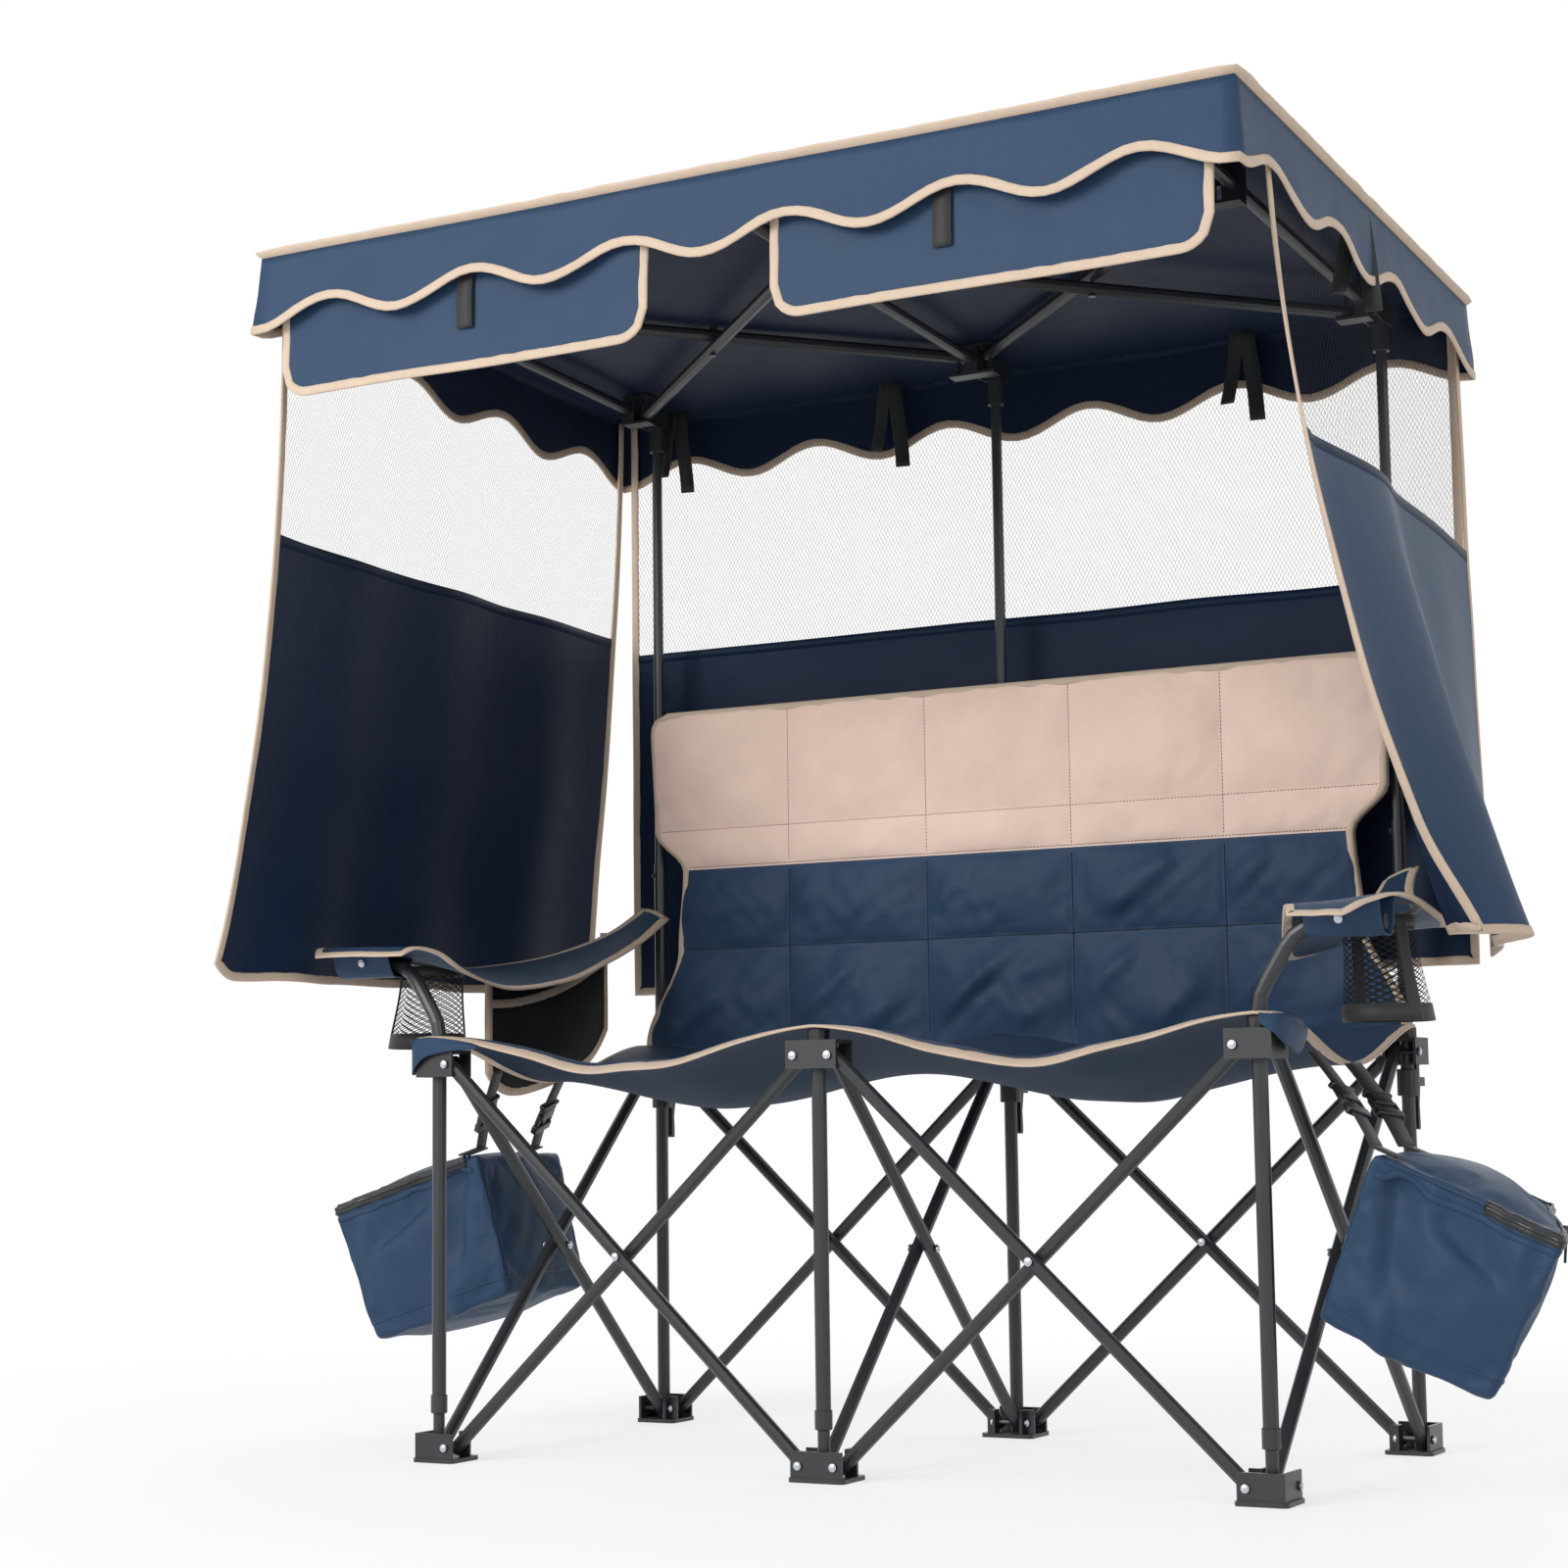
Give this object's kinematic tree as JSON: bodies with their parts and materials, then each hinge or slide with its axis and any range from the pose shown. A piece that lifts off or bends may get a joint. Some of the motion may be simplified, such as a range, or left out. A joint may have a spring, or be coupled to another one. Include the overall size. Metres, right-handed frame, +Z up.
{
  "type": "folding camping loveseat with canopy",
  "caption": "Folding camping bench with a scissor tube frame, a sling seat, a quilted back and a sun roof on sliding posts.",
  "frame": {"origin": "middle of the outline on the floor", "axes": "+Z up, -Y to the front where people sit facing, +X to the right as seen from the front"},
  "size_m": [1.6738, 0.8336, 1.4266],
  "materials": {
    "frame_steel": "matt dark grey powder coat",
    "moulded_plastic": "moulded matt black plastic",
    "navy_cloth": "coated woven polyester, navy",
    "dark_cloth": "coated woven polyester, dark reverse side",
    "black_mesh": "black polyester mesh"
  },
  "bodies": {
    "back_centre_leg": {"back_centre_leg": "frame_steel", "backrest": "navy_cloth"},
    "centre_side_falling": {"centre_side_brace_falling": "frame_steel"},
    "centre_side_rising": {"centre_side_brace_rising": "frame_steel"},
    "front_centre_leg": {"front_centre_leg": "frame_steel"},
    "front_centre_hub": {"front_centre_hub": "moulded_plastic", "front_centre_upright": "frame_steel"},
    "back_right_rising": {"back_right_brace_rising": "frame_steel"},
    "back_right_falling": {"back_right_brace_falling": "frame_steel"},
    "back_right_leg": {"back_right_leg": "frame_steel"},
    "back_right_hub": {"back_right_hub": "moulded_plastic"},
    "back_left_falling": {"back_left_brace_falling": "frame_steel"},
    "back_left_rising": {"back_left_brace_rising": "frame_steel"},
    "back_left_leg": {"back_left_leg": "frame_steel"},
    "back_left_hub": {"back_left_hub": "moulded_plastic"},
    "front_right_rising": {"front_right_brace_rising": "frame_steel"},
    "front_right_falling": {"front_right_brace_falling": "frame_steel"},
    "front_right_leg": {"front_right_leg": "frame_steel"},
    "front_right_hub": {"front_right_hub": "moulded_plastic", "front_right_arm_post": "frame_steel", "armrest_right": "navy_cloth", "cup_holder_right": "black_mesh"},
    "front_left_falling": {"front_left_brace_falling": "frame_steel"},
    "front_left_rising": {"front_left_brace_rising": "frame_steel"},
    "front_left_leg": {"front_left_leg": "frame_steel"},
    "front_left_hub": {"front_left_hub": "moulded_plastic", "front_left_arm_post": "frame_steel", "armrest_left": "navy_cloth", "cup_holder_left": "black_mesh", "side_pocket": "black_mesh"},
    "back_centre_hub": {"back_centre_hub": "moulded_plastic"},
    "left_side_falling": {"left_side_brace_falling": "frame_steel"},
    "left_side_rising": {"left_side_brace_rising": "frame_steel"},
    "right_side_falling": {"right_side_brace_falling": "frame_steel"},
    "right_side_rising": {"right_side_brace_rising": "frame_steel"},
    "canopy_post_centre": {"canopy_post_centre": "frame_steel", "wall_back": "dark_cloth"},
    "canopy_post_left": {"canopy_post_left": "frame_steel", "wall_left": "dark_cloth"},
    "canopy_post_right": {"canopy_post_right": "frame_steel", "wall_right": "dark_cloth"},
    "canopy_rib_centre": {"canopy_rib_centre": "frame_steel", "canopy_cover": "navy_cloth"},
    "canopy_rib_left": {"canopy_rib_left": "frame_steel"},
    "canopy_rib_right": {"canopy_rib_right": "frame_steel"},
    "canopy_left_inner": {"canopy_brace_left_inner": "frame_steel"},
    "canopy_left_outer": {"canopy_brace_left_outer": "frame_steel"},
    "canopy_slider_left": {"canopy_slider_left": "moulded_plastic"},
    "canopy_right_inner": {"canopy_brace_right_inner": "frame_steel"},
    "canopy_right_outer": {"canopy_brace_right_outer": "frame_steel"},
    "canopy_slider_right": {"canopy_slider_right": "moulded_plastic"},
    "canopy_slider_centre": {"canopy_slider_centre": "moulded_plastic"},
    "clamp_lever_left": {"clamp_lever_left": "moulded_plastic"},
    "clamp_lever_centre": {"clamp_lever_centre": "moulded_plastic"},
    "clamp_lever_right": {"clamp_lever_right": "moulded_plastic"},
    "seat_front": {"seat_front_panel": "navy_cloth"},
    "seat_rear": {"seat_rear_panel": "navy_cloth"},
    "cooler_bag_left": {"cooler_bag_left": "navy_cloth"},
    "cooler_bag_right": {"cooler_bag_right": "navy_cloth"}
  },
  "joints": [
    {"name": "frame_fold", "type": "hinge", "parent": "back_centre_leg", "child": "centre_side_falling", "pos_m": [0.00422, 0.32768, 0.018], "axis": [-1, 0, 0], "range_deg": [0, 43.86], "deforming": ["seat_front_panel", "seat_rear_panel", "backrest", "armrest_left", "armrest_right", "side_pocket", "canopy_cover", "wall_back", "wall_left", "wall_right"]},
    {"name": "centre_side_cross", "type": "hinge", "parent": "centre_side_falling", "child": "centre_side_rising", "pos_m": [0.00422, 0.08968, 0.244], "axis": [1, 0, 0], "range_deg": [0, 87.74]},
    {"name": "front_centre_foot_pivot", "type": "hinge", "parent": "centre_side_rising", "child": "front_centre_leg", "pos_m": [0.00422, -0.14832, 0.018], "axis": [-1, 0, 0], "range_deg": [0, 43.88]},
    {"name": "front_centre_hub_pivot", "type": "hinge", "parent": "centre_side_falling", "child": "front_centre_hub", "pos_m": [0.00422, -0.14832, 0.47], "axis": [1, 0, 0], "range_deg": [0, 43.88]},
    {"name": "back_right_rising_pivot", "type": "hinge", "parent": "back_centre_leg", "child": "back_right_rising", "pos_m": [0.02622, 0.34968, 0.018], "axis": [0, -1, 0], "range_deg": [0, 43.88]},
    {"name": "back_right_cross", "type": "hinge", "parent": "back_right_rising", "child": "back_right_falling", "pos_m": [0.26422, 0.34968, 0.244], "axis": [0, 1, 0], "range_deg": [0, 87.74]},
    {"name": "back_right_foot_pivot", "type": "hinge", "parent": "back_right_falling", "child": "back_right_leg", "pos_m": [0.50222, 0.34968, 0.018], "axis": [0, -1, 0], "range_deg": [0, 43.88]},
    {"name": "back_right_hub_pivot", "type": "hinge", "parent": "back_right_rising", "child": "back_right_hub", "pos_m": [0.50222, 0.34968, 0.47], "axis": [0, 1, 0], "range_deg": [0, 43.88]},
    {"name": "back_left_falling_pivot", "type": "hinge", "parent": "back_centre_leg", "child": "back_left_falling", "pos_m": [-0.01778, 0.34968, 0.018], "axis": [0, 1, 0], "range_deg": [0, 43.88]},
    {"name": "back_left_cross", "type": "hinge", "parent": "back_left_falling", "child": "back_left_rising", "pos_m": [-0.25578, 0.34968, 0.244], "axis": [0, -1, 0], "range_deg": [0, 87.74]},
    {"name": "back_left_foot_pivot", "type": "hinge", "parent": "back_left_rising", "child": "back_left_leg", "pos_m": [-0.49378, 0.34968, 0.018], "axis": [0, 1, 0], "range_deg": [0, 43.88]},
    {"name": "back_left_hub_pivot", "type": "hinge", "parent": "back_left_falling", "child": "back_left_hub", "pos_m": [-0.49378, 0.34968, 0.47], "axis": [0, -1, 0], "range_deg": [0, 43.88]},
    {"name": "front_right_rising_pivot", "type": "hinge", "parent": "front_centre_leg", "child": "front_right_rising", "pos_m": [0.02622, -0.17032, 0.018], "axis": [0, -1, 0], "range_deg": [0, 43.88]},
    {"name": "front_right_cross", "type": "hinge", "parent": "front_right_rising", "child": "front_right_falling", "pos_m": [0.26422, -0.17032, 0.244], "axis": [0, 1, 0], "range_deg": [0, 87.74]},
    {"name": "front_right_foot_pivot", "type": "hinge", "parent": "front_right_falling", "child": "front_right_leg", "pos_m": [0.50222, -0.17032, 0.018], "axis": [0, -1, 0], "range_deg": [0, 43.88]},
    {"name": "front_right_hub_pivot", "type": "hinge", "parent": "front_right_rising", "child": "front_right_hub", "pos_m": [0.50222, -0.17032, 0.47], "axis": [0, 1, 0], "range_deg": [0, 43.88]},
    {"name": "front_left_falling_pivot", "type": "hinge", "parent": "front_centre_leg", "child": "front_left_falling", "pos_m": [-0.01778, -0.17032, 0.018], "axis": [0, 1, 0], "range_deg": [0, 43.88]},
    {"name": "front_left_cross", "type": "hinge", "parent": "front_left_falling", "child": "front_left_rising", "pos_m": [-0.25578, -0.17032, 0.244], "axis": [0, -1, 0], "range_deg": [0, 87.74]},
    {"name": "front_left_foot_pivot", "type": "hinge", "parent": "front_left_rising", "child": "front_left_leg", "pos_m": [-0.49378, -0.17032, 0.018], "axis": [0, 1, 0], "range_deg": [0, 43.88]},
    {"name": "front_left_hub_pivot", "type": "hinge", "parent": "front_left_falling", "child": "front_left_hub", "pos_m": [-0.49378, -0.17032, 0.47], "axis": [0, -1, 0], "range_deg": [0, 43.88]},
    {"name": "back_centre_hub_pivot", "type": "hinge", "parent": "back_right_falling", "child": "back_centre_hub", "pos_m": [0.02622, 0.34968, 0.47], "axis": [0, -1, 0], "range_deg": [0, 43.88]},
    {"name": "left_side_falling_pivot", "type": "hinge", "parent": "back_left_leg", "child": "left_side_falling", "pos_m": [-0.51578, 0.32768, 0.018], "axis": [-1, 0, 0], "range_deg": [0, 43.88]},
    {"name": "left_side_cross", "type": "hinge", "parent": "left_side_falling", "child": "left_side_rising", "pos_m": [-0.51578, 0.08968, 0.244], "axis": [1, 0, 0], "range_deg": [0, 87.74]},
    {"name": "right_side_falling_pivot", "type": "hinge", "parent": "back_right_leg", "child": "right_side_falling", "pos_m": [0.52422, 0.32768, 0.018], "axis": [-1, 0, 0], "range_deg": [0, 43.88]},
    {"name": "right_side_cross", "type": "hinge", "parent": "right_side_falling", "child": "right_side_rising", "pos_m": [0.52422, 0.08968, 0.244], "axis": [1, 0, 0], "range_deg": [0, 87.74]},
    {"name": "canopy_height", "type": "slide", "parent": "back_centre_leg", "child": "canopy_post_centre", "axis": [0, 0, 1], "range_m": [-0.1, 0]},
    {"name": "canopy_height_left", "type": "slide", "parent": "back_left_leg", "child": "canopy_post_left", "axis": [0, 0, 1], "range_m": [-0.1, 0]},
    {"name": "canopy_height_right", "type": "slide", "parent": "back_right_leg", "child": "canopy_post_right", "axis": [0, 0, 1], "range_m": [-0.1, 0]},
    {"name": "canopy_rib_centre_swing", "type": "hinge", "parent": "canopy_post_centre", "child": "canopy_rib_centre", "pos_m": [0.00422, 0.30968, 1.372], "axis": [1, 0, 0], "range_deg": [0, 79.02]},
    {"name": "canopy_rib_left_swing", "type": "hinge", "parent": "canopy_post_left", "child": "canopy_rib_left", "pos_m": [-0.51578, 0.30968, 1.372], "axis": [1, 0, 0], "range_deg": [0, 79.02]},
    {"name": "canopy_rib_right_swing", "type": "hinge", "parent": "canopy_post_right", "child": "canopy_rib_right", "pos_m": [0.52422, 0.30968, 1.372], "axis": [1, 0, 0], "range_deg": [0, 79.02]},
    {"name": "canopy_left_inner_pivot", "type": "hinge", "parent": "canopy_rib_centre", "child": "canopy_left_inner", "pos_m": [-0.01778, 0.28471, 1.37309], "axis": [0, 0.0436, 0.999], "range_deg": [0, 43.88]},
    {"name": "canopy_left_cross", "type": "hinge", "parent": "canopy_left_inner", "child": "canopy_left_outer", "pos_m": [-0.25578, 0.05892, 1.38295], "axis": [0, -0.0436, -0.999], "range_deg": [0, 87.74]},
    {"name": "canopy_slider_left_pivot", "type": "hinge", "parent": "canopy_left_inner", "child": "canopy_slider_left", "pos_m": [-0.49378, -0.16686, 1.39281], "axis": [0, -0.0436, -0.999], "range_deg": [0, 43.88]},
    {"name": "canopy_right_inner_pivot", "type": "hinge", "parent": "canopy_rib_centre", "child": "canopy_right_inner", "pos_m": [0.02622, 0.28471, 1.37309], "axis": [0, -0.0436, -0.999], "range_deg": [0, 43.88]},
    {"name": "canopy_right_cross", "type": "hinge", "parent": "canopy_right_inner", "child": "canopy_right_outer", "pos_m": [0.26422, 0.05892, 1.38295], "axis": [0, 0.0436, 0.999], "range_deg": [0, 87.74]},
    {"name": "canopy_slider_right_pivot", "type": "hinge", "parent": "canopy_right_inner", "child": "canopy_slider_right", "pos_m": [0.50222, -0.16686, 1.39281], "axis": [0, 0.0436, 0.999], "range_deg": [0, 43.88]},
    {"name": "canopy_slider_centre_pivot", "type": "hinge", "parent": "canopy_left_outer", "child": "canopy_slider_centre", "pos_m": [-0.01778, -0.16686, 1.39281], "axis": [0, 0.0436, 0.999], "range_deg": [0, 43.88]},
    {"name": "clamp_lever_left_hinge", "type": "hinge", "parent": "back_left_hub", "child": "clamp_lever_left", "pos_m": [-0.51578, 0.37168, 0.435], "axis": [1, 0, 0], "range_deg": [0, 110]},
    {"name": "clamp_lever_centre_hinge", "type": "hinge", "parent": "back_centre_hub", "child": "clamp_lever_centre", "pos_m": [0.00422, 0.37168, 0.435], "axis": [1, 0, 0], "range_deg": [0, 110]},
    {"name": "clamp_lever_right_hinge", "type": "hinge", "parent": "back_right_hub", "child": "clamp_lever_right", "pos_m": [0.52422, 0.37168, 0.435], "axis": [1, 0, 0], "range_deg": [0, 110]},
    {"name": "seat_front_fold", "type": "hinge", "parent": "front_centre_hub", "child": "seat_front", "pos_m": [0.00422, -0.17032, 0.5028], "axis": [1, 0, 0], "range_deg": [0, 82.02]},
    {"name": "seat_rear_fold", "type": "hinge", "parent": "back_centre_hub", "child": "seat_rear", "pos_m": [0.00422, 0.34968, 0.5028], "axis": [-1, 0, 0], "range_deg": [0, 82.02]},
    {"name": "cooler_bag_left_gather", "type": "slide", "parent": "front_left_hub", "child": "cooler_bag_left", "axis": [0, -1, 0], "range_m": [0, 0.2655]},
    {"name": "cooler_bag_right_gather", "type": "slide", "parent": "front_right_hub", "child": "cooler_bag_right", "axis": [0, -1, 0], "range_m": [0, 0.0735]}
  ],
  "couplings": [
    {"joint": "centre_side_cross", "follows": "frame_fold", "ratio": 2},
    {"joint": "front_centre_foot_pivot", "follows": "frame_fold", "ratio": 1},
    {"joint": "front_centre_hub_pivot", "follows": "frame_fold", "ratio": 1},
    {"joint": "back_right_rising_pivot", "follows": "frame_fold", "ratio": 1},
    {"joint": "back_right_cross", "follows": "frame_fold", "ratio": 2},
    {"joint": "back_right_foot_pivot", "follows": "frame_fold", "ratio": 1},
    {"joint": "back_right_hub_pivot", "follows": "frame_fold", "ratio": 1},
    {"joint": "back_left_falling_pivot", "follows": "frame_fold", "ratio": 1},
    {"joint": "back_left_cross", "follows": "frame_fold", "ratio": 2},
    {"joint": "back_left_foot_pivot", "follows": "frame_fold", "ratio": 1},
    {"joint": "back_left_hub_pivot", "follows": "frame_fold", "ratio": 1},
    {"joint": "front_right_rising_pivot", "follows": "frame_fold", "ratio": 1},
    {"joint": "front_right_cross", "follows": "frame_fold", "ratio": 2},
    {"joint": "front_right_foot_pivot", "follows": "frame_fold", "ratio": 1},
    {"joint": "front_right_hub_pivot", "follows": "frame_fold", "ratio": 1},
    {"joint": "front_left_falling_pivot", "follows": "frame_fold", "ratio": 1},
    {"joint": "front_left_cross", "follows": "frame_fold", "ratio": 2},
    {"joint": "front_left_foot_pivot", "follows": "frame_fold", "ratio": 1},
    {"joint": "front_left_hub_pivot", "follows": "frame_fold", "ratio": 1},
    {"joint": "back_centre_hub_pivot", "follows": "frame_fold", "ratio": 1},
    {"joint": "left_side_falling_pivot", "follows": "frame_fold", "ratio": 1},
    {"joint": "left_side_cross", "follows": "frame_fold", "ratio": 2},
    {"joint": "right_side_falling_pivot", "follows": "frame_fold", "ratio": 1},
    {"joint": "right_side_cross", "follows": "frame_fold", "ratio": 2},
    {"joint": "canopy_height_left", "follows": "canopy_height", "ratio": 1},
    {"joint": "canopy_height_right", "follows": "canopy_height", "ratio": 1},
    {"joint": "canopy_rib_centre_swing", "follows": "frame_fold", "ratio": 1.8012},
    {"joint": "canopy_rib_left_swing", "follows": "frame_fold", "ratio": 1.8012},
    {"joint": "canopy_rib_right_swing", "follows": "frame_fold", "ratio": 1.8012},
    {"joint": "canopy_left_inner_pivot", "follows": "frame_fold", "ratio": 1},
    {"joint": "canopy_left_cross", "follows": "frame_fold", "ratio": 2},
    {"joint": "canopy_slider_left_pivot", "follows": "frame_fold", "ratio": 1},
    {"joint": "canopy_right_inner_pivot", "follows": "frame_fold", "ratio": 1},
    {"joint": "canopy_right_cross", "follows": "frame_fold", "ratio": 2},
    {"joint": "canopy_slider_right_pivot", "follows": "frame_fold", "ratio": 1},
    {"joint": "canopy_slider_centre_pivot", "follows": "frame_fold", "ratio": 1},
    {"joint": "seat_front_fold", "follows": "frame_fold", "ratio": 1.8696},
    {"joint": "seat_rear_fold", "follows": "frame_fold", "ratio": 1.8696},
    {"joint": "cooler_bag_left_gather", "follows": "frame_fold", "m_per_rad": 0.34618},
    {"joint": "cooler_bag_right_gather", "follows": "frame_fold", "m_per_rad": 0.09536}
  ]
}
